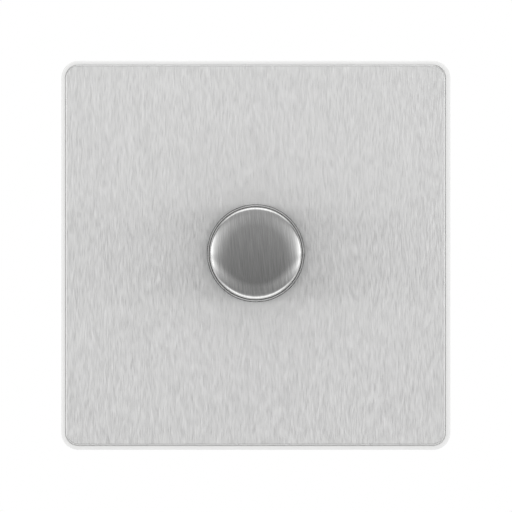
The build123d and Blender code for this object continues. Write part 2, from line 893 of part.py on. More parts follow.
def housing_cover():
    """The back cover with a locating lip, screw recesses, driver holes and vents."""
    outline = RectangleRounded(module_width, module_height, module_corner)
    cover = slab(outline, cover_front, module_depth)
    cover = fillet(cover.faces().sort_by(Axis.Y)[-1].edges(), cover_edge_round)
    width = module_width - 2 * (module_wall + 2 * fit)
    height = module_height - 2 * (module_wall + 2 * fit)
    lip = RectangleRounded(width, height, module_corner - module_wall)
    lip -= Rectangle(width - 2 * cover_lip_wall, height - 2 * cover_lip_wall)
    clear = 2 * (cover_boss_radius + cover_lip_gap)
    for x, z in cover_points():
        lip -= at(x, z, Rectangle(clear, clear))
    terminals = 2 * terminal_pitch + terminal_width + 2 * cover_lip_gap
    lip -= at(0, -module_height / 2, Rectangle(terminals, 6 * module_wall))
    cover += slab(lip, cover_front - cover_lip, cover_front)
    through = cover_front - cut_margin
    head_seat = module_depth - cover_screw_head_height
    for x, z in cover_points():
        shank = at(x, z, Circle(cover_screw_radius + screw_clearance))
        head = at(x, z, Circle(cover_screw_head_radius + screw_clearance))
        cover -= slab(shank, through, module_depth + cut_margin)
        cover -= slab(head, head_seat, module_depth + cut_margin)
    for x in terminal_x:
        driver = at(x, terminal_z, Circle(terminal_screw_radius + driver_clearance))
        cover -= slab(driver, through, module_depth + cut_margin)
    for index in range(vent_count):
        level = vent_level + (index - (vent_count - 1) / 2) * vent_pitch
        vent = at(module_width / 2 - vent_inset, level, SlotOverall(vent_length, vent_width))
        cover -= both_sides(slab(vent, through, module_depth + cut_margin))
    return cover


def cover_screws():
    """Four small pan-head screws in the corners of the cover."""
    seat = module_depth - cover_screw_head_height
    tip = cover_front - cover_screw_length
    screw = turned(
        (0, tip),
        (cover_screw_point_radius, tip),
        (cover_screw_radius, tip + cover_screw_point),
        (cover_screw_radius, seat),
        (cover_screw_head_radius, seat),
        (cover_screw_head_radius, module_depth - cover_screw_head_chamfer),
        (cover_screw_head_radius - cover_screw_head_chamfer, module_depth),
        (0, module_depth),
    )
    screw -= driver_slot(cover_screw_head_radius, module_depth, small_slot_depth, "back")
    return Compound([Pos(x, 0, z) * screw for x, z in cover_points()])


def stacked(*lengths):
    """Heights of the parts in one column of the board, evenly spaced from the terminals up."""
    room = module_height - 2 * module_wall - terminal_setback
    gap = (room - sum(lengths)) / len(lengths)
    heights = []
    low = terminal_low
    for length in lengths:
        heights.append(low + length / 2)
        low += length + gap
    return heights


chip_span = chip_length + 2 * chip_lead_reach + chip_lead_sheet
choke_span = 2 * (choke_outer + choke_wire + fit)
left_column = stacked(terminal_length, 2 * resistor_radius, chip_span, choke_span)
right_column = stacked(
    terminal_length,
    2 * resistor_radius,
    2 * fuse_radius,
    2 * electrolytic_radius,
    film_length,
)
chip_place = (chip_inset - module_width / 2, left_column[2])
choke_place = (choke_inset - module_width / 2, left_column[3])
fuse_place = (module_width / 2 - fuse_inset, right_column[2])
electrolytic_place = (module_width / 2 - electrolytic_inset, right_column[3])
film_place = (module_width / 2 - film_inset, right_column[4])
resistor_places = (
    (resistor_inset - module_width / 2, left_column[1]),
    (module_width / 2 - resistor_inset, right_column[1]),
    (0, switch_height / 2 + resistor_offset),
    (0, -switch_height / 2 - resistor_offset),
)


def choke_leads():
    """The two ends of the winding, at its lowest turns."""
    turn = radians(180 / choke_turns)
    reach = choke_outer + choke_wire / 2
    x, z = choke_place
    return [(x + side * reach * sin(turn), z - reach * cos(turn)) for side in (-1, 1)]


def film_leads():
    """The two leads of the film capacitor."""
    x, z = film_place
    return [(x + side * film_lead_pitch / 2, z) for side in (-1, 1)]


def electrolytic_leads():
    """The two leads of the electrolytic capacitor, bent down beside its end."""
    x, z = electrolytic_place
    end = x - electrolytic_length / 2 - lead_run
    return [(end, z + side * electrolytic_lead_pitch / 2) for side in (-1, 1)]


def fuse_leads():
    """The two leads of the fuse."""
    x, z = fuse_place
    return [(x + side * fuse_lead_pitch / 2, z) for side in (-1, 1)]


def chip_leads(side):
    """The leads of the controller along its upper or lower side."""
    x, z = chip_place
    first = -(chip_lead_count - 1) / 2
    level = z + side * (chip_length / 2 + chip_lead_reach)
    return [(x + (first + index) * chip_lead_pitch, level) for index in range(chip_lead_count)]


def resistor_leads():
    """Both leads of each resistor."""
    return [(x + side * resistor_reach, z) for x, z in resistor_places for side in (-1, 1)]


def circuit_board():
    """The board, notched at the corner posts and cut out round the switch."""
    width = module_width - 2 * (module_wall + board_gap)
    height = module_height - 2 * (module_wall + board_gap)
    outline = Rectangle(width, height)
    notch = 2 * (cover_boss_radius + board_gap)
    for side in (-1, 1):
        for level in (-1, 1):
            x = side * (cover_boss_x + notch / 2)
            z = level * (cover_boss_z + notch / 2)
            outline -= at(x, z, Rectangle(2 * notch, 2 * notch))
    outline -= Rectangle(switch_width + 2 * board_gap, switch_height + 2 * board_gap)
    pins = pot_pin_places() + transistor_lead_places(-1) + transistor_lead_places(1)
    pins += [(-contact_leg_x, 0), (contact_leg_x, 0)]
    for x, z in pins:
        outline -= at(x, z, Circle(pin_hole_radius))
    wires = choke_leads() + film_leads() + electrolytic_leads() + fuse_leads()
    wires += chip_leads(-1) + chip_leads(1) + resistor_leads()
    for x, z in wires:
        outline -= at(x, z, Circle(lead_hole_radius))
    return slab(outline, board_front, board_back)


def straight_leads(points):
    """Straight wires from inside a part, through the board and a little beyond."""
    front = board_front - lead_tail
    return [slab(at(x, z, Circle(lead_radius)), front, board_back + lead_run) for x, z in points]


def bent_wire(*points):
    """A round lead along runs with rounded corners."""
    path = FilletPolyline(*points, radius=lead_bend)
    return sweep(Plane(path @ 0, z_dir=path % 0) * Circle(lead_radius), path=path)


def lying_cylinder(place, depth, radius, length, edge):
    """A rounded cylinder that lies along X on the board."""
    body = Cylinder(radius, length)
    body = fillet(body.edges(), edge)
    return Pos(place[0], depth, place[1]) * (Rot(0, 90, 0) * body)


def choke_core():
    """The ferrite ring of the choke."""
    ring = tube(choke_outer, choke_inner, choke_front, choke_front + choke_height)
    return Pos(choke_place[0], 0, choke_place[1]) * ring


def choke_winding():
    """Turns of enamelled wire round the ring, touching at its inside."""
    core_back = choke_front + choke_height
    front = choke_front - choke_wire - fit
    back = core_back + choke_wire + fit
    middle = (choke_inner + choke_outer) / 2
    width = choke_outer - choke_inner
    radial = Rectangle(width + 2 * (choke_wire + fit), choke_wire)
    space = Rectangle(width + 2 * fit, 2 * choke_wire)
    loop = slab(at(middle, 0, radial), front, back)
    loop -= slab(at(middle, 0, space), choke_front - fit, core_back + fit)
    inside = choke_inner - fit
    winding = tube(inside, inside - choke_wire, front, back)
    for index in range(choke_turns):
        winding += Rot(0, 360 / choke_turns * (index + 0.5) + 90, 0) * loop
    winding = Pos(choke_place[0], 0, choke_place[1]) * winding
    for wire in straight_leads(choke_leads()):
        winding += wire
    return winding


def film_capacitor():
    """The moulded film capacitor."""
    outline = at(*film_place, Rectangle(film_width, film_length))
    block = slab(outline, board_back + part_standoff, board_back + film_height)
    block = fillet(block.edges(), part_edge_round)
    for wire in straight_leads(film_leads()):
        block += wire
    return block


def electrolytic_capacitor():
    """The electrolytic capacitor, laid on the board."""
    depth = board_back + part_standoff + electrolytic_radius
    radius = electrolytic_radius
    body = lying_cylinder(electrolytic_place, depth, radius, electrolytic_length, part_edge_round)
    for end, level in electrolytic_leads():
        inside = (electrolytic_place[0], depth, level)
        body += bent_wire(inside, (end, depth, level), (end, board_front - lead_tail, level))
    return body


def fuse():
    """The round board fuse."""
    outline = at(*fuse_place, Circle(fuse_radius))
    body = slab(outline, board_back + part_standoff, board_back + fuse_height)
    body = fillet(body.faces().sort_by(Axis.Y)[-1].edges(), part_edge_round)
    for wire in straight_leads(fuse_leads()):
        body += wire
    return body


def control_chip():
    """The eight-pin controller with its leads bent down at both sides."""
    outline = at(*chip_place, Rectangle(chip_width, chip_length))
    front = board_back + part_standoff
    shoulder = board_back + chip_shoulder_level
    body = slab(outline, front, front + chip_height)
    for side in (-1, 1):
        for x, z in chip_leads(side):
            leg = at(x, z, Rectangle(chip_lead_width, chip_lead_sheet))
            body += slab(leg, board_front - lead_tail, shoulder)
            arm = Rectangle(chip_shoulder_width, chip_lead_reach + chip_lead_sheet)
            arm = at(x, z - side * chip_lead_reach / 2, arm)
            body += slab(arm, shoulder, shoulder + chip_lead_sheet)
    return body


def resistor(place):
    """One axial resistor."""
    depth = board_back + part_standoff + resistor_radius
    body = lying_cylinder(place, depth, resistor_radius, resistor_length, resistor_round)
    x, z = place
    for side in (-1, 1):
        end = x + side * resistor_reach
        body += bent_wire((x, depth, z), (end, depth, z), (end, board_front - lead_tail, z))
    return body


def heat_sink():
    """The aluminium plate between the transistors and the front wall."""
    low = can_radius + heat_sink_can_gap
    high = module_height / 2 - module_wall - heat_sink_top_gap
    width = 2 * (transistor_middle_gap + transistor_length)
    outline = at(0, (low + high) / 2, RectangleRounded(width, high - low, heat_sink_corner))
    for side in (-1, 1):
        hole = Circle(transistor_screw_radius + screw_clearance)
        outline -= at(side * transistor_hole_x, transistor_z, hole)
    return slab(outline, module_wall, pad_front)


def transistor_outline():
    """The tab of the right transistor with its screw hole."""
    middle = transistor_middle_gap + transistor_length / 2
    outline = at(middle, transistor_z, Rectangle(transistor_length, transistor_width))
    hole = Circle(transistor_screw_radius + screw_clearance)
    return outline - at(transistor_hole_x, transistor_z, hole)


def insulating_pad(side):
    """The thin pad under one transistor."""
    pad = slab(transistor_outline(), pad_front, tab_front)
    return pad if side > 0 else mirror(pad, about=Plane.YZ)


def transistor(side):
    """One power transistor: metal tab, moulded body and three leads bent back to the board."""
    start = transistor_middle_gap
    body = slab(transistor_outline(), tab_front, tab_back)
    middle = start + transistor_body_length / 2
    block = at(middle, transistor_z, Rectangle(transistor_body_length, transistor_width))
    body += slab(block, tab_front, tab_front + transistor_thickness)
    depth = tab_front + transistor_thickness / 2
    run = transistor_lead_run + transistor_lead_sheet
    for x, z in transistor_lead_places(1):
        stub = at(start - transistor_lead_run / 2, z, Rectangle(run, transistor_lead_width))
        leg = at(x, z, Rectangle(transistor_lead_sheet, transistor_lead_width))
        body += slab(stub, depth, depth + transistor_lead_sheet)
        body += slab(leg, depth, board_back + transistor_lead_tail)
    return body if side > 0 else mirror(body, about=Plane.YZ)


def transistor_screws():
    """Two screws through the transistor tabs and the heat sink into the frame."""
    top = tab_back + transistor_screw_head_height
    screw = turned(
        (0, frame_front),
        (transistor_screw_radius, frame_front),
        (transistor_screw_radius, tab_back),
        (transistor_screw_head_radius, tab_back),
        (transistor_screw_head_radius, top - transistor_screw_head_chamfer),
        (transistor_screw_head_radius - transistor_screw_head_chamfer, top),
        (0, top),
    )
    screw -= driver_slot(transistor_screw_head_radius, top, slot_depth, "back")
    return Compound(pair(transistor_hole_x, transistor_z, screw))


def terminal_block(x):
    """One brass terminal with a cable bore from below and a tapped hole from the back."""
    outline = at(x, terminal_z, Rectangle(terminal_width, terminal_length))
    block = slab(outline, board_back, board_back + terminal_height)
    block = chamfer(block.edges().filter_by(Axis.Z), terminal_chamfer)
    block -= Pos(x, bore_depth, terminal_z) * Cylinder(terminal_bore_radius, 2 * terminal_length)
    hole = at(x, terminal_z, Circle(terminal_screw_radius + fit))
    return block - slab(hole, bore_depth, board_back + terminal_height + cut_margin)


def terminal_screws():
    """Three slotted grub screws, backed out so that the cable bores are open."""
    front = bore_depth + terminal_bore_radius + terminal_screw_gap
    back = front + terminal_screw_length
    screw = slab(Circle(terminal_screw_radius), front, back)
    screw -= driver_slot(terminal_screw_radius, back, slot_depth, "back")
    return Compound([Pos(x, 0, terminal_z) * screw for x in terminal_x])


def earth_terminal():
    """The brass earth terminal, riveted to the back of the frame."""
    block = slab(Rectangle(earth_width, earth_height), 0, earth_depth)
    block = chamfer(block.edges().filter_by(Axis.Y), earth_chamfer)
    block += slab(Circle(earth_rivet_radius), frame_front, 0)
    head_front = frame_front - earth_rivet_head_height
    block += slab(Circle(earth_rivet_head_radius), head_front, frame_front)
    block -= Pos(0, earth_bore_depth, 0) * Cylinder(earth_bore_radius, 2 * earth_height)
    hole = Circle(terminal_screw_radius + fit)
    block -= slab(hole, earth_bore_depth, earth_depth + cut_margin)
    return Pos(earth_x, 0, earth_z) * block


def earth_screw():
    """The pan-head screw of the earth terminal, backed out."""
    front = earth_bore_depth + earth_bore_radius + terminal_screw_gap
    seat = earth_depth + earth_screw_lift
    top = seat + earth_screw_head_height
    screw = turned(
        (0, front),
        (terminal_screw_radius, front),
        (terminal_screw_radius, seat),
        (earth_screw_head_radius, seat),
        (earth_screw_head_radius, top - earth_screw_head_chamfer),
        (earth_screw_head_radius - earth_screw_head_chamfer, top),
        (0, top),
    )
    screw -= driver_slot(earth_screw_head_radius, top, slot_depth, "back")
    return Pos(earth_x, 0, earth_z) * screw


pieces = {
    "front_plate": front_plate(),
    "plate_carrier": plate_carrier(),
    "support_frame": support_frame(),
    "fixing_screws": fixing_screws(),
    "frame_screws": frame_screws(),
    "knob_cap": knob_cap(),
    "knob_insert": knob_insert(),
    "knob_clip": knob_clip(),
    "pot_shaft": pot_shaft(),
    "shaft_circlip": shaft_circlip(),
    "threaded_bush": threaded_bush(),
    "pot_nut": pot_nut(),
    "lock_washer": lock_washer(),
    "pot_case": pot_case(),
    "wiper_rotor": wiper_rotor(),
    "wiper_contact": wiper_contact(),
    "track_plate": track_plate(),
    "resistive_track": resistive_track(),
    "collector_ring": collector_ring(),
    "pot_pins": pot_pins(),
    "switch_base": switch_base(),
    "fixed_contact_left": fixed_contact(-1),
    "fixed_contact_right": fixed_contact(1),
    "switch_slider": switch_slider(),
    "moving_contact": moving_contact(),
    "switch_spring": switch_spring(),
    "module_housing": module_housing(),
    "housing_cover": housing_cover(),
    "cover_screws": cover_screws(),
    "circuit_board": circuit_board(),
    "choke_core": choke_core(),
    "choke_winding": choke_winding(),
    "film_capacitor": film_capacitor(),
    "electrolytic_capacitor": electrolytic_capacitor(),
    "fuse": fuse(),
    "control_chip": control_chip(),
    "heat_sink": heat_sink(),
    "insulating_pad_left": insulating_pad(-1),
    "insulating_pad_right": insulating_pad(1),
    "transistor_left": transistor(-1),
    "transistor_right": transistor(1),
    "transistor_screws": transistor_screws(),
    "terminal_screws": terminal_screws(),
    "earth_terminal": earth_terminal(),
    "earth_screw": earth_screw(),
}
for index, x in enumerate(terminal_x):
    pieces[f"terminal_{index + 1}"] = terminal_block(x)
for index, place in enumerate(resistor_places):
    pieces[f"resistor_{index + 1}"] = resistor(place)

os.makedirs("parts", exist_ok=True)
for name, shape in pieces.items():
    export_step(shape, f"parts/{name}.step")
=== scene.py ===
import math

import bmesh
import bpy
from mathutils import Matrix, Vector


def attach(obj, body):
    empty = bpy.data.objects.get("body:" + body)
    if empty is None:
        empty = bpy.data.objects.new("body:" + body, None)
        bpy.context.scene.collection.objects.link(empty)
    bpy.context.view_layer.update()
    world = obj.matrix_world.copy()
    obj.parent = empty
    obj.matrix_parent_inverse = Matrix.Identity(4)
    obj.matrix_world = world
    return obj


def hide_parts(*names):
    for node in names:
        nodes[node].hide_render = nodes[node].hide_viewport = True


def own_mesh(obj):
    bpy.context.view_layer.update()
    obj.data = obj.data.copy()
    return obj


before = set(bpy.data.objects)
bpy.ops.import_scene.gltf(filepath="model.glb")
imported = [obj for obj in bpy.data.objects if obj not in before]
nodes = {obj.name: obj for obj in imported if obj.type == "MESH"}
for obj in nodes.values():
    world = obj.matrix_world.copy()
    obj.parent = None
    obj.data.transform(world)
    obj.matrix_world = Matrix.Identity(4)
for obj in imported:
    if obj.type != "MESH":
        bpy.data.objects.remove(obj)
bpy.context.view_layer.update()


# ---------------------------------------------------------------- shared node helpers

def mirrored_rays(tree):
    """1 for a ray that metal or glass sends on, 0 for any other."""
    rays = tree.nodes.new("ShaderNodeLightPath")
    either = tree.nodes.new("ShaderNodeMath")
    either.operation = "MAXIMUM"
    tree.links.new(rays.outputs["Is Glossy Ray"], either.inputs[0])
    tree.links.new(rays.outputs["Is Transmission Ray"], either.inputs[1])
    return either.outputs[0]


def mixed_shader(tree, share, first, second):
    """The first shader where the share is 0, the second where it is 1."""
    node = tree.nodes.new("ShaderNodeMixShader")
    tree.links.new(share, node.inputs["Fac"])
    tree.links.new(first, node.inputs[1])
    tree.links.new(second, node.inputs[2])
    return node.outputs[0]


# ---------------------------------------------------------------- materials

def shade(color, factor):
    return tuple(min(1.0, c * factor) for c in color)


class Maker:
    """Builds the nodes of one procedural material."""

    def __init__(self, name):
        self.material = bpy.data.materials.new(name)
        self.material.use_nodes = True
        self.tree = self.material.node_tree
        self.shader = self.tree.nodes["Principled BSDF"]
        self.output = self.tree.nodes["Material Output"]
        self.place = self.tree.nodes.new("ShaderNodeTexCoord").outputs["Object"]

    def link(self, source, target):
        self.tree.links.new(source, target)

    def set(self, **values):
        for name, value in values.items():
            self.shader.inputs[name.replace("_", " ").title()].default_value = value

    def stretched(self, scale, turn):
        """The object's own coordinates, turned and then scaled along each axis."""
        turned = self.tree.nodes.new("ShaderNodeVectorRotate")
        turned.rotation_type = "EULER_XYZ"
        turned.inputs["Rotation"].default_value = turn
        self.link(self.place, turned.inputs["Vector"])
        scaled = self.tree.nodes.new("ShaderNodeVectorMath")
        scaled.operation = "MULTIPLY"
        scaled.inputs[1].default_value = scale
        self.link(turned.outputs[0], scaled.inputs[0])
        return scaled.outputs[0]

    def noise(self, vector, detail=2.0, roughness=0.5, scale=1.0):
        texture = self.tree.nodes.new("ShaderNodeTexNoise")
        texture.inputs["Scale"].default_value = scale
        texture.inputs["Detail"].default_value = detail
        texture.inputs["Roughness"].default_value = roughness
        self.link(vector, texture.inputs["Vector"])
        return texture.outputs["Fac"]

    def span(self, source, low, high, source_low=0.25, source_high=0.75):
        """A value of the source laid out between two numbers, and held at them beyond."""
        node = self.tree.nodes.new("ShaderNodeMapRange")
        node.inputs["From Min"].default_value = source_low
        node.inputs["From Max"].default_value = source_high
        node.inputs["To Min"].default_value = low
        node.inputs["To Max"].default_value = high
        self.link(source, node.inputs["Value"])
        return node.outputs["Result"]

    def mixed(self, factor, first, second):
        """A colour between two colours by a factor from 0 to 1."""
        node = self.tree.nodes.new("ShaderNodeMix")
        node.data_type = "RGBA"
        node.inputs["A"].default_value = (*first, 1.0)
        node.inputs["B"].default_value = (*second, 1.0)
        self.link(factor, node.inputs["Factor"])
        return node.outputs["Result"]

    def toned(self, texture, color, contrast):
        """The colour, made darker and lighter by a share of itself with the texture."""
        return self.mixed(self.span(texture, 0.0, 1.0),
                          shade(color, 1 - contrast), shade(color, 1 + contrast))

    def rough(self, texture, roughness, spread):
        """The shader's roughness, which varies by a share of itself with the texture."""
        varied = self.span(texture, roughness * (1 - spread), roughness * (1 + spread))
        self.link(varied, self.shader.inputs["Roughness"])

    def shade_painted_line(self, tone, middle, half_width, level):
        """The colour, darkened to a level in a fine line at one depth of the piece, as painted
        shade.
        """
        split = self.tree.nodes.new("ShaderNodeSeparateXYZ")
        self.link(self.place, split.inputs[0])
        away = self.tree.nodes.new("ShaderNodeMath")
        away.operation = "SUBTRACT"
        away.inputs[1].default_value = middle
        self.link(split.outputs["Y"], away.inputs[0])
        width = self.tree.nodes.new("ShaderNodeMath")
        width.operation = "ABSOLUTE"
        self.link(away.outputs[0], width.inputs[0])
        darker = self.tree.nodes.new("ShaderNodeMix")
        darker.data_type = "RGBA"
        darker.blend_type = "MULTIPLY"
        darker.inputs["B"].default_value = (level, level, level, 1.0)
        inside = self.span(width.outputs[0], 1.0, 0.0, half_width * 0.5, half_width)
        self.link(inside, darker.inputs["Factor"])
        self.link(tone, darker.inputs["A"])
        return darker.outputs["Result"]

    def bump(self, height, distance, strength):
        node = self.tree.nodes.new("ShaderNodeBump")
        node.inputs["Strength"].default_value = strength
        node.inputs["Distance"].default_value = distance
        self.link(height, node.inputs["Height"])
        self.link(node.outputs["Normal"], self.shader.inputs["Normal"])

    def along(self, direction):
        """A fixed direction on the piece, as the tangent of its brushed finish."""
        node = self.tree.nodes.new("ShaderNodeVectorTransform")
        node.vector_type = "VECTOR"
        node.convert_from = "OBJECT"
        node.convert_to = "WORLD"
        node.inputs[0].default_value = direction
        self.link(node.outputs[0], self.shader.inputs["Tangent"])


def brushed(name, color, metallic, roughness, anisotropic, contrast, grain,
            turn=0.0, shift=0.0, painted_groove_shade=None):
    """Metal with fine lines that run up and down, turned by an angle in the plane of the face, and
    optionally a fine line of painted shade in its colour.
    """
    m = Maker(name)
    m.set(metallic=metallic, anisotropic=anisotropic)
    lines = m.noise(m.stretched(grain, (0.0, turn, 0.0)), detail=3.0, roughness=0.65)
    tone = m.toned(lines, color, contrast)
    # Painted shade: the colour is darkened in a fine line where the knob's groove lies.
    if painted_groove_shade:
        tone = m.shade_painted_line(tone, *painted_groove_shade)
    m.link(tone, m.shader.inputs["Base Color"])
    m.rough(lines, roughness, spread=0.06)
    if shift:
        # The lines differ in how much of their light is mirrored, and so keep their contrast.
        mirrored = m.span(lines, metallic + shift, metallic - shift,
                          source_low=0.36, source_high=0.64)
        m.link(mirrored, m.shader.inputs["Metallic"])
    m.bump(lines, distance=0.00001, strength=0.06)
    m.along((math.cos(turn), 0.0, math.sin(turn)))
    return m.material


def metal(name, color, roughness, contrast=0.05, scale=900.0):
    """Plated or rolled metal with a faint mottle."""
    m = Maker(name)
    m.set(metallic=1.0)
    mottle = m.noise(m.place, detail=4.0, roughness=0.6, scale=scale)
    m.link(m.toned(mottle, color, contrast), m.shader.inputs["Base Color"])
    m.rough(mottle, roughness, spread=0.15)
    m.bump(mottle, distance=0.00002, strength=0.08)
    return m.material


def moulded(name, color, roughness, contrast=0.03, scale=2500.0, relief=0.00003):
    """Moulded plastic or ceramic with a fine surface texture."""
    m = Maker(name)
    fine = m.noise(m.place, detail=3.0, roughness=0.6, scale=scale)
    broad = m.noise(m.place, scale=60.0)
    m.link(m.toned(broad, color, contrast), m.shader.inputs["Base Color"])
    m.rough(fine, roughness, spread=0.1)
    m.bump(fine, distance=relief, strength=0.15)
    return m.material


sheet_color = (0.93, 0.93, 0.925)
sheet_grain = (8500.0, 900.0, 380.0)
knob_grain = (4200.0, 900.0, 150.0)
groove_painted_shade = (-0.02200, 0.0005, 0.45)  # depth, half width and level of the painted shade line in the knob's groove

sheet_finish = brushed("brushed_sheet", sheet_color, metallic=0.62, roughness=0.41,
                       anisotropic=1.0, contrast=0.065, grain=sheet_grain, shift=0.26)
edge_finish = metal("sheet_edge", sheet_color, roughness=0.30, contrast=0.04)
knob_finish = brushed("knob_metal", (0.72, 0.72, 0.715), metallic=1.0, roughness=0.165,
                      anisotropic=0.90, contrast=0.17, grain=knob_grain,
                      turn=math.radians(5.0), painted_groove_shade=groove_painted_shade)
finishes = {
    "brushed_sheet": sheet_finish,
    "knob_metal": knob_finish,
    "white_plastic": moulded("white_plastic", (0.86, 0.86, 0.855), 0.38, 0.01),
    "frame_steel": metal("frame_steel", (0.66, 0.67, 0.68), 0.36, 0.07, 500.0),
    "screw_steel": metal("screw_steel", (0.68, 0.68, 0.67), 0.28, 0.04),
    "shaft_steel": metal("shaft_steel", (0.60, 0.60, 0.59), 0.30),
    "spring_steel": metal("spring_steel", (0.50, 0.50, 0.51), 0.25),
    "black_plastic": moulded("black_plastic", (0.028, 0.028, 0.03), 0.45, 0.15),
    "housing_plastic": moulded("housing_plastic", (0.70, 0.70, 0.68), 0.50, 0.02, 1800.0, 0.00005),
    "cream_plastic": moulded("cream_plastic", (0.76, 0.70, 0.56), 0.45),
    "terminal_brass": metal("terminal_brass", (0.80, 0.62, 0.32), 0.30, 0.07),
    "bush_metal": metal("bush_metal", (0.70, 0.68, 0.62), 0.30),
    "bronze": metal("bronze", (0.72, 0.45, 0.26), 0.32, 0.08),
    "tinned_pin": metal("tinned_pin", (0.72, 0.72, 0.71), 0.38, 0.06),
    "phenolic": moulded("phenolic", (0.30, 0.17, 0.08), 0.50, 0.12),
    "carbon_film": moulded("carbon_film", (0.02, 0.02, 0.02), 0.55, 0.20),
    "silver_film": metal("silver_film", (0.74, 0.73, 0.71), 0.42, 0.06),
    "board_laminate": moulded("board_laminate", (0.04, 0.20, 0.09), 0.40, 0.12),
    "ferrite": moulded("ferrite", (0.09, 0.09, 0.10), 0.60, 0.15),
    "enamelled_copper": metal("enamelled_copper", (0.62, 0.28, 0.12), 0.25, 0.08),
    "film_case": moulded("film_case", (0.70, 0.50, 0.08), 0.35, 0.05),
    "capacitor_sleeve": moulded("capacitor_sleeve", (0.04, 0.05, 0.14), 0.30, 0.10),
    "fuse_case": moulded("fuse_case", (0.28, 0.09, 0.05), 0.45, 0.10),
    "epoxy_black": moulded("epoxy_black", (0.035, 0.035, 0.04), 0.50, 0.15),
    "resistor_body": moulded("resistor_body", (0.62, 0.48, 0.30), 0.35, 0.08),
    "heat_sink_metal": metal("heat_sink_metal", (0.72, 0.73, 0.74), 0.42, 0.06, 500.0),
    "silicone_pad": moulded("silicone_pad", (0.42, 0.44, 0.48), 0.60, 0.05),
}

for node in nodes.values():
    for material_slot in node.material_slots:
        stem = material_slot.material.name.split(".")[0]
        material_slot.material = finishes[stem]


# ---------------------------------------------------------------- mesh helpers

def shown(name, mesh, finish, sharp):
    """An object of the mesh in the scene, smooth between edges sharper than an angle."""
    mesh.materials.append(finish)
    mesh.shade_smooth()
    mesh.set_sharp_from_angle(angle=math.radians(sharp))
    piece = bpy.data.objects.new(name, mesh)
    bpy.context.scene.collection.objects.link(piece)
    return piece


def finished(name, vertices, faces, finish, sharp):
    """An object from a closed mesh, with its faces turned outwards."""
    mesh = bpy.data.meshes.new(name)
    mesh.from_pydata(vertices, [], faces)
    shape = bmesh.new()
    shape.from_mesh(mesh)
    bmesh.ops.recalc_face_normals(shape, faces=shape.faces)
    shape.to_mesh(mesh)
    shape.free()
    return shown(name, mesh, finish, sharp)


# ---------------------------------------------------------------- knob

def knob_profile():
    """Points of radius and depth: crown, rounded edge, groove, drafted wall, back and bore."""
    radius, draft, back, front = 0.0118, 0.0007, -0.00915, -0.02455
    crown, rounding_run, rounding_depth, chamfer = 0.0003, 0.0046, 0.0019, 0.0003
    bore_radius, bore_end = 0.0096, -0.02065
    power = 2 / 2.6  # of a superellipse, fuller than a circle
    groove_width, groove_depth, groove_step = 0.00021, 0.00045, 0.0003
    straight_steps, rounding_steps = 12, 72
    top = radius - draft
    flat = top - rounding_run

    def crowned(distance):
        return front + crown * (distance / top) ** 2

    points = []
    for i in range(straight_steps + 1):
        distance = flat * i / straight_steps
        points.append((distance, crowned(distance)))
    for i in range(1, rounding_steps):
        angle = math.pi / 2 * i / rounding_steps
        distance = flat + rounding_run * math.sin(angle) ** power
        fall = rounding_depth * (1 - math.cos(angle) ** power)
        points.append((distance, crowned(distance) + fall))
    edge, end = points[-1]
    lip, lip_start = edge + groove_width, end + groove_step
    points += [(edge, end + groove_depth), (lip, end + groove_depth), (lip, lip_start)]
    for i in range(1, straight_steps + 1):
        share = i / straight_steps
        points.append((lip + (radius - lip) * share,
                       lip_start + (back - chamfer - lip_start) * share))
    points += [(radius - chamfer, back), (bore_radius, back), (bore_radius, bore_end),
               (0.0, bore_end)]
    return points


def turned(name, profile, finish, sides=192):
    """A mesh turned about the knob's axis; a profile off the axis closes into a ring."""
    vertices, faces = [], []
    solid = profile[0][0] == 0.0
    inner = profile[1:-1] if solid else profile
    for radius, depth in inner:
        for side in range(sides):
            angle = 2 * math.pi * side / sides
            vertices.append((radius * math.cos(angle), depth, radius * math.sin(angle)))
    rings = len(inner) if solid else len(inner) + 1
    for ring in range(rings - 1):
        here, there = ring * sides, (ring + 1) % len(inner) * sides
        for side in range(sides):
            after = (side + 1) % sides
            faces.append((here + side, there + side, there + after, here + after))
    if solid:
        first, last = len(vertices), len(vertices) + 1
        vertices += [(0.0, profile[0][1], 0.0), (0.0, profile[-1][1], 0.0)]
        foot = (len(inner) - 1) * sides
        for side in range(sides):
            after = (side + 1) % sides
            faces += [(first, side, after), (foot + side, last, foot + after)]
    mesh = bpy.data.meshes.new(name)
    mesh.from_pydata(vertices, [], faces)
    mesh.validate()
    return shown(name, mesh, finish, sharp=25.0)


knob = turned("knob_turned", knob_profile(), knob_finish)
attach(knob, "knob")
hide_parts("knob_cap")

# Painted shade: a thin black ring at the knob's foot, put there to stand in for the shadow gap
# between the knob and the plate.
foot_shadow_inner, foot_shadow_radius, foot_shadow_chamfer = 0.0100, 0.01189, 0.00003
foot_shadow_back, foot_shadow_shoulder, foot_shadow_front = -0.00896, -0.00908, -0.00914
foot_shadow_profile = [(foot_shadow_inner, foot_shadow_front), (foot_shadow_radius - foot_shadow_chamfer, foot_shadow_front),
                 (foot_shadow_radius, foot_shadow_shoulder), (foot_shadow_radius, foot_shadow_back),
                 (foot_shadow_inner, foot_shadow_back)]
foot_shadow_ring = turned("knob_foot_shadow_ring", foot_shadow_profile, finishes["black_plastic"])
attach(foot_shadow_ring, "knob")


# ---------------------------------------------------------------- sheet and rim

def rounded_square(half_width, half_height, corner, centre, depth, steps=16):
    """Points of a square with rounded corners, in the plane of the plate."""
    points = []
    for quarter, (side_x, side_z) in enumerate(((1, 1), (-1, 1), (-1, -1), (1, -1))):
        for step in range(steps):
            angle = math.pi / 2 * (quarter + step / (steps - 1))
            points.append((
                centre[0] + side_x * (half_width - corner) + corner * math.cos(angle), depth,
                centre[1] + side_z * (half_height - corner) + corner * math.sin(angle)))
    return points


def circle(radius, depth, count):
    return [(radius * math.cos(2 * math.pi * (i + 0.5) / count), depth,
             radius * math.sin(2 * math.pi * (i + 0.5) / count)) for i in range(count)]


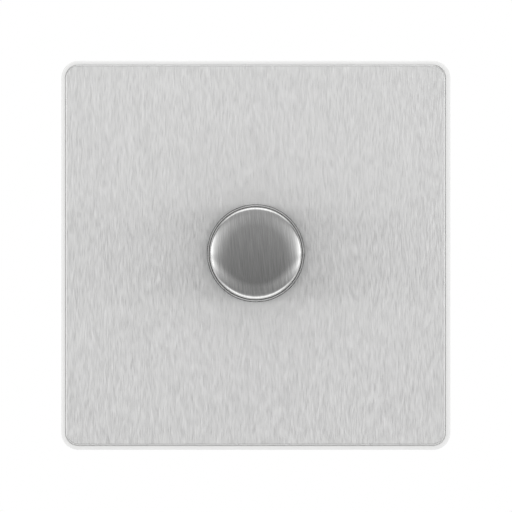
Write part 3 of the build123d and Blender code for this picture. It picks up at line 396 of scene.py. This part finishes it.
def ringed(name, loops, finish):
    """A closed ring that runs through loops of points and back to the first."""
    count = len(loops[0])
    vertices = [point for loop in loops for point in loop]
    faces = []
    for ring in range(len(loops)):
        here, there = ring * count, (ring + 1) % len(loops) * count
        for i in range(count):
            after = (i + 1) % count
            faces.append((here + i, here + after, there + after, there + i))
    return finished(name, vertices, faces, finish, sharp=25.0)


sheet_half_x, sheet_half_z, sheet_corner = 0.04622, 0.04630, 0.0031
sheet_middle = (-0.00012, -0.00043)
sheet_front, sheet_back, sheet_hole = -0.0075, -0.0066, 0.0065
edge_round, edge_steps = 0.00026, 5


def sheet_loop(inset, depth):
    return rounded_square(sheet_half_x - inset, sheet_half_z - inset, sheet_corner - inset,
                          sheet_middle, depth)


loop_size = len(sheet_loop(0.0, 0.0))
face_loops = [circle(sheet_hole, sheet_back, loop_size),
              circle(sheet_hole, sheet_front, loop_size),
              sheet_loop(edge_round, sheet_front), sheet_loop(edge_round, sheet_back)]
sheet = ringed("brushed_face", face_loops, sheet_finish)
edge_loops = [sheet_loop(edge_round, sheet_back)]
for i in range(edge_steps + 1):
    angle = math.pi / 2 * i / edge_steps
    edge_loops.append(sheet_loop(edge_round * (1 - math.sin(angle)),
                                 sheet_front + edge_round * (1 - math.cos(angle))))
edge_loops.append(sheet_loop(0.0, sheet_back))
sheet_edge = ringed("brushed_face_edge", edge_loops, edge_finish)
for piece in (sheet, sheet_edge):
    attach(piece, "base")
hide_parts("front_plate")

lip_front = -0.006995
lip_inner_x, lip_inner_z, lip_inner_corner = 0.04644, 0.04649, 0.0031
lip_inner_middle = (-0.00006, -0.00053)
lip_outer, lip_outer_corner, lip_outer_middle = 0.04662, 0.0033, (0.0, -0.0005)
lip_loops = []
for depth in (sheet_back, lip_front):
    lip_loops.append(rounded_square(lip_inner_x, lip_inner_z, lip_inner_corner,
                                    lip_inner_middle, depth))
for depth in (lip_front, sheet_back):
    lip_loops.append(rounded_square(lip_outer, lip_outer, lip_outer_corner,
                                    lip_outer_middle, depth))
lip = ringed("rim_lip", lip_loops, finishes["white_plastic"])
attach(lip, "base")


# ---------------------------------------------------------------- return spring

spring_low, spring_high, spring_travel = 0.0123, 0.0166, 0.0013
spring_radius, spring_wire = 0.0025, 0.0002
spring_turns, spring_closed = 5.0, 0.75


def coil_depth(turn):
    """Depth of the wire's middle after a number of turns: closed ends, open turns between."""
    rise = 2 * spring_wire  # of a turn that lies against the next
    if turn < spring_closed:
        return spring_low + spring_wire + turn * rise
    if turn > spring_turns - spring_closed:
        return spring_high - spring_wire - (spring_turns - turn) * rise
    start = spring_low + spring_wire + spring_closed * rise
    end = spring_high - spring_wire - spring_closed * rise
    return start + (end - start) * (turn - spring_closed) / (spring_turns - 2 * spring_closed)


def coil_spring(name, finish, steps=32, sides=10):
    """The spring's round wire, with steps to each turn and sides around the wire."""
    vertices, faces = [], []
    count = int(spring_turns * steps) + 1
    for i in range(count):
        turn = i / steps
        angle = 2 * math.pi * turn
        depth = coil_depth(turn)
        for side in range(sides):
            around = 2 * math.pi * side / sides
            distance = spring_radius + spring_wire * math.cos(around)
            vertices.append((distance * math.cos(angle), depth + spring_wire * math.sin(around),
                             distance * math.sin(angle)))
    for i in range(count - 1):
        here, there = i * sides, (i + 1) * sides
        for side in range(sides):
            after = (side + 1) % sides
            faces.append((here + side, here + after, there + after, there + side))
    faces.append(tuple(range(sides)))
    faces.append(tuple((count - 1) * sides + side for side in range(sides)))
    return finished(name, vertices, faces, finish, sharp=50.0)


spring = coil_spring("return_spring", finishes["spring_steel"])
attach(spring, "base")
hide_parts("switch_spring")
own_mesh(spring)


# ---------------------------------------------------------------- box screws

screw_aside = 0.03015
shank_start, shank_end = 0.0008, 0.0238
thread_minor, thread_major, thread_pitch, thread_taper = 0.00142, 0.00175, 0.0006, 0.0006


def threaded_shank(shape, place, sides=24):
    """Adds a shank with a thread to a mesh, about an axis beside the knob's."""
    rows = ((0.0, thread_minor), (0.25, thread_minor), (0.5, thread_major), (0.75, thread_major))
    loops = []
    for turn in range(-1, math.ceil((shank_end - shank_start) / thread_pitch) + 2):
        for share, radius in rows:
            loop = []
            for side in range(sides):
                depth = shank_start + thread_pitch * (turn + share + side / sides)
                held = min(max(depth, shank_start), shank_end)
                limit = thread_major - max(0.0, held - (shank_end - thread_taper))
                reach = min(radius, limit)
                if depth < shank_start:
                    reach = thread_minor
                elif depth > shank_end:
                    reach = limit
                angle = 2 * math.pi * side / sides
                loop.append(shape.verts.new((place + reach * math.cos(angle), held,
                                             reach * math.sin(angle))))
            loops.append(loop)
    for row in range(len(loops) - len(rows) - 1):
        for side in range(sides):
            after, further = (row, side + 1) if side + 1 < sides else (row + len(rows), 0)
            shape.faces.new((loops[row][side], loops[after][further],
                             loops[after + 1][further], loops[row + 1][side]))


def threaded_screws(name, node, finish):
    """The heads of a node's screws, with threaded shanks in place of the plain ones."""
    shape = bmesh.new()
    shape.from_mesh(nodes[node].data)
    bmesh.ops.remove_doubles(shape, verts=shape.verts, dist=1e-6)
    everything = shape.verts[:] + shape.edges[:] + shape.faces[:]
    bmesh.ops.bisect_plane(shape, geom=everything, plane_co=(0.0, shank_start, 0.0),
                           plane_no=(0.0, 1.0, 0.0), clear_outer=True)
    bmesh.ops.holes_fill(shape, edges=[edge for edge in shape.edges if edge.is_boundary])
    for place in (-screw_aside, screw_aside):
        shank = bmesh.new()
        threaded_shank(shank, place)
        bmesh.ops.remove_doubles(shank, verts=shank.verts, dist=1e-7)
        bmesh.ops.holes_fill(shank, edges=[edge for edge in shank.edges if edge.is_boundary])
        part = bpy.data.meshes.new("shank")
        shank.to_mesh(part)
        shank.free()
        shape.from_mesh(part)
        bpy.data.meshes.remove(part)
    bmesh.ops.recalc_face_normals(shape, faces=shape.faces)
    mesh = bpy.data.meshes.new(name)
    shape.to_mesh(mesh)
    shape.free()
    return shown(name, mesh, finish, sharp=30.0)


box_screws = threaded_screws("box_screws", "fixing_screws", finishes["screw_steel"])
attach(box_screws, "base")
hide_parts("fixing_screws")


# ---------------------------------------------------------------- floor and lamps

def floor_finish():
    """Pale floor that takes the shadow, and that shines pale in metal."""
    m = Maker("pale_floor")
    broad = m.noise(m.place, scale=6.0)
    m.link(m.mixed(m.span(broad, 0.0, 1.0), (0.86, 0.86, 0.86), (0.89, 0.89, 0.89)),
           m.shader.inputs["Base Color"])
    m.set(roughness=0.8)
    white = m.tree.nodes.new("ShaderNodeEmission")
    surface = mixed_shader(m.tree, mirrored_rays(m.tree), m.shader.outputs[0], white.outputs[0])
    m.link(surface, m.output.inputs["Surface"])
    return m.material


floor_place, floor_size = (0.0, 0.13, -0.09), (2.0, 0.30, 1.0)
bpy.ops.mesh.primitive_plane_add(size=1.0, location=floor_place)
floor = bpy.context.object
floor.name = "floor"
floor.scale = floor_size
floor.data.materials.append(floor_finish())


def lamp(name, place, width, height, power):
    """A soft rectangular lamp that looks at the middle of the plate."""
    data = bpy.data.lights.new(name, "AREA")
    data.shape = "RECTANGLE"
    data.size = width
    data.size_y = height
    data.energy = power
    item = bpy.data.objects.new(name, data)
    bpy.context.scene.collection.objects.link(item)
    item.location = place
    item.rotation_euler = (lamp_target - Vector(place)).to_track_quat("-Z", "Y").to_euler()


lamp_target = Vector((0.0, 0.0, 0.0))
lamp_away, lamp_ahead = 1.25, -0.12
lamp("lamp_left", (-lamp_away, lamp_ahead, 0.05), width=0.9, height=0.9, power=0.6)
lamp("lamp_right", (lamp_away, lamp_ahead, 0.05), width=0.9, height=0.9, power=0.5)
lamp("lamp_top", (0.0, lamp_ahead, lamp_away), width=1.0, height=0.6, power=0.9)


# ---------------------------------------------------------------- world

world = bpy.data.worlds.new("studio")
bpy.context.scene.world = world
world.use_nodes = True
tree = world.node_tree
tree.nodes.clear()

curve_top = 2.0  # the level at the top of a curve, whose own levels end at 1


def calculated(operation, first, second=0.0):
    """A value worked out in the world's nodes from one or two others."""
    node = tree.nodes.new("ShaderNodeMath")
    node.operation = operation
    for socket, value in zip(node.inputs, (first, second)):
        if isinstance(value, float):
            socket.default_value = value
        else:
            tree.links.new(value, socket)
    return node.outputs[0]


def times(first, second):
    return calculated("MULTIPLY", first, second)


def ramp(source, source_low, source_high, low=0.0, high=1.0):
    """A smooth step of a value between two levels."""
    node = tree.nodes.new("ShaderNodeMapRange")
    node.interpolation_type = "SMOOTHSTEP"
    tree.links.new(source, node.inputs["Value"])
    node.inputs["From Min"].default_value = source_low
    node.inputs["From Max"].default_value = source_high
    node.inputs["To Min"].default_value = low
    node.inputs["To Max"].default_value = high
    return node.outputs["Result"]


def blended(share, first, second):
    """First where the share is 0, second where it is 1."""
    return calculated("ADD", times(calculated("SUBTRACT", 1.0, share), first),
                      times(share, second))


def between(source, points):
    """A value that runs straight from point to point, each a place and a level."""
    node = tree.nodes.new("ShaderNodeFloatCurve")
    tree.links.new(source, node.inputs["Value"])
    curve = node.mapping.curves[0]
    for place, level in points[1:-1]:
        curve.points.new(place, level / curve_top)
    ends = zip((curve.points[0], curve.points[-1]), (points[0], points[-1]))
    for point, (place, level) in ends:
        point.location = (place, level / curve_top)
    for point in curve.points:
        point.handle_type = "VECTOR"
    node.mapping.update()
    return times(node.outputs[0], curve_top)


def background(strength):
    """A white world background of the given strength."""
    node = tree.nodes.new("ShaderNodeBackground")
    node.inputs["Color"].default_value = (1.0, 1.0, 1.0, 1.0)
    node.inputs["Strength"].default_value = strength
    return node


coordinates = tree.nodes.new("ShaderNodeTexCoord")
split = tree.nodes.new("ShaderNodeSeparateXYZ")
tree.links.new(coordinates.outputs["Generated"], split.inputs[0])
across, away, up = (split.outputs[axis] for axis in "XYZ")
aside = calculated("ABSOLUTE", across)
upright = calculated("ABSOLUTE", up)
height = calculated("ADD", times(up, 0.5), 0.5)

# What metal mirrors ahead of the plate: a strip by height, with a pale panel at each side.
strip = between(height, (
    (0.0, 0.55), (0.08, 0.36), (0.14, 0.29), (0.25, 0.24), (0.45, 0.08), (0.50, 0.11),
    (0.56, 0.21), (0.75, 0.36), (1.0, 0.46)))
panel_side = between(aside, (
    (0.0, 0.03), (0.04, 0.05), (0.12, 0.13), (0.27, 0.17), (0.50, 0.30), (0.66, 0.44),
    (0.84, 0.68), (1.0, 0.80)))
panel_depth = calculated("ADD", away, times(upright, 0.55))
panel = times(times(panel_side, ramp(upright, 0.12, 0.75, 1.0, 0.0)),
              ramp(panel_depth, 0.10, 0.40, 1.0, 0.0))
panel_level = between(height, (
    (0.0, 1.45), (0.30, 1.50), (0.37, 1.72), (0.42, 1.50), (0.445, 1.20), (0.475, 1.22),
    (0.505, 1.60), (1.0, 1.58)))

# Bright zones above and below the plate, and the white background behind it.
above = times(ramp(away, -0.26, 0.24), ramp(up, 0.55, 0.80))
below = times(ramp(up, -0.55, -0.85),
              times(ramp(away, -0.55, -0.10), ramp(away, 0.20, 0.50, 1.0, 0.0)))
dimmed = times(strip, ramp(away, -0.15, 0.25, 1.0, 0.15))
zone_level = 1.45
ahead = blended(above, blended(below, blended(panel, dimmed, panel_level), zone_level), zone_level)
mirror_level = blended(ramp(away, 0.45, 0.65), ahead, 1.0)

mirrored = background(1.0)
tree.links.new(mirror_level, mirrored.inputs["Color"])
soft = background(0.97)
white = background(1.0)
shine = mixed_shader(tree, mirrored_rays(tree), soft.outputs[0], mirrored.outputs[0])
rays = tree.nodes.new("ShaderNodeLightPath")
seen = mixed_shader(tree, rays.outputs["Is Camera Ray"], shine, white.outputs[0])
world_output = tree.nodes.new("ShaderNodeOutputWorld")
tree.links.new(seen, world_output.inputs["Surface"])

bpy.context.scene.view_settings.view_transform = "Standard"


# ---------------------------------------------------------------- camera

camera_distance, camera_aside, camera_up = 1.0, 0.00005, -0.00067
sensor_width = 36.0
picture_pixels, pixels_per_millimetre = 512, 4.1
frame_width = picture_pixels / pixels_per_millimetre / 1000
camera_data = bpy.data.cameras.new("camera")
camera_data.sensor_width = sensor_width
camera_data.lens = sensor_width * (camera_distance + sheet_front) / frame_width
camera_data.clip_start = 0.01
camera_data.clip_end = 20.0
camera = bpy.data.objects.new("camera", camera_data)
bpy.context.scene.collection.objects.link(camera)
camera.location = (camera_aside, -camera_distance, camera_up)
camera.rotation_euler = (math.radians(90.0), 0.0, 0.0)
bpy.context.scene.camera = camera
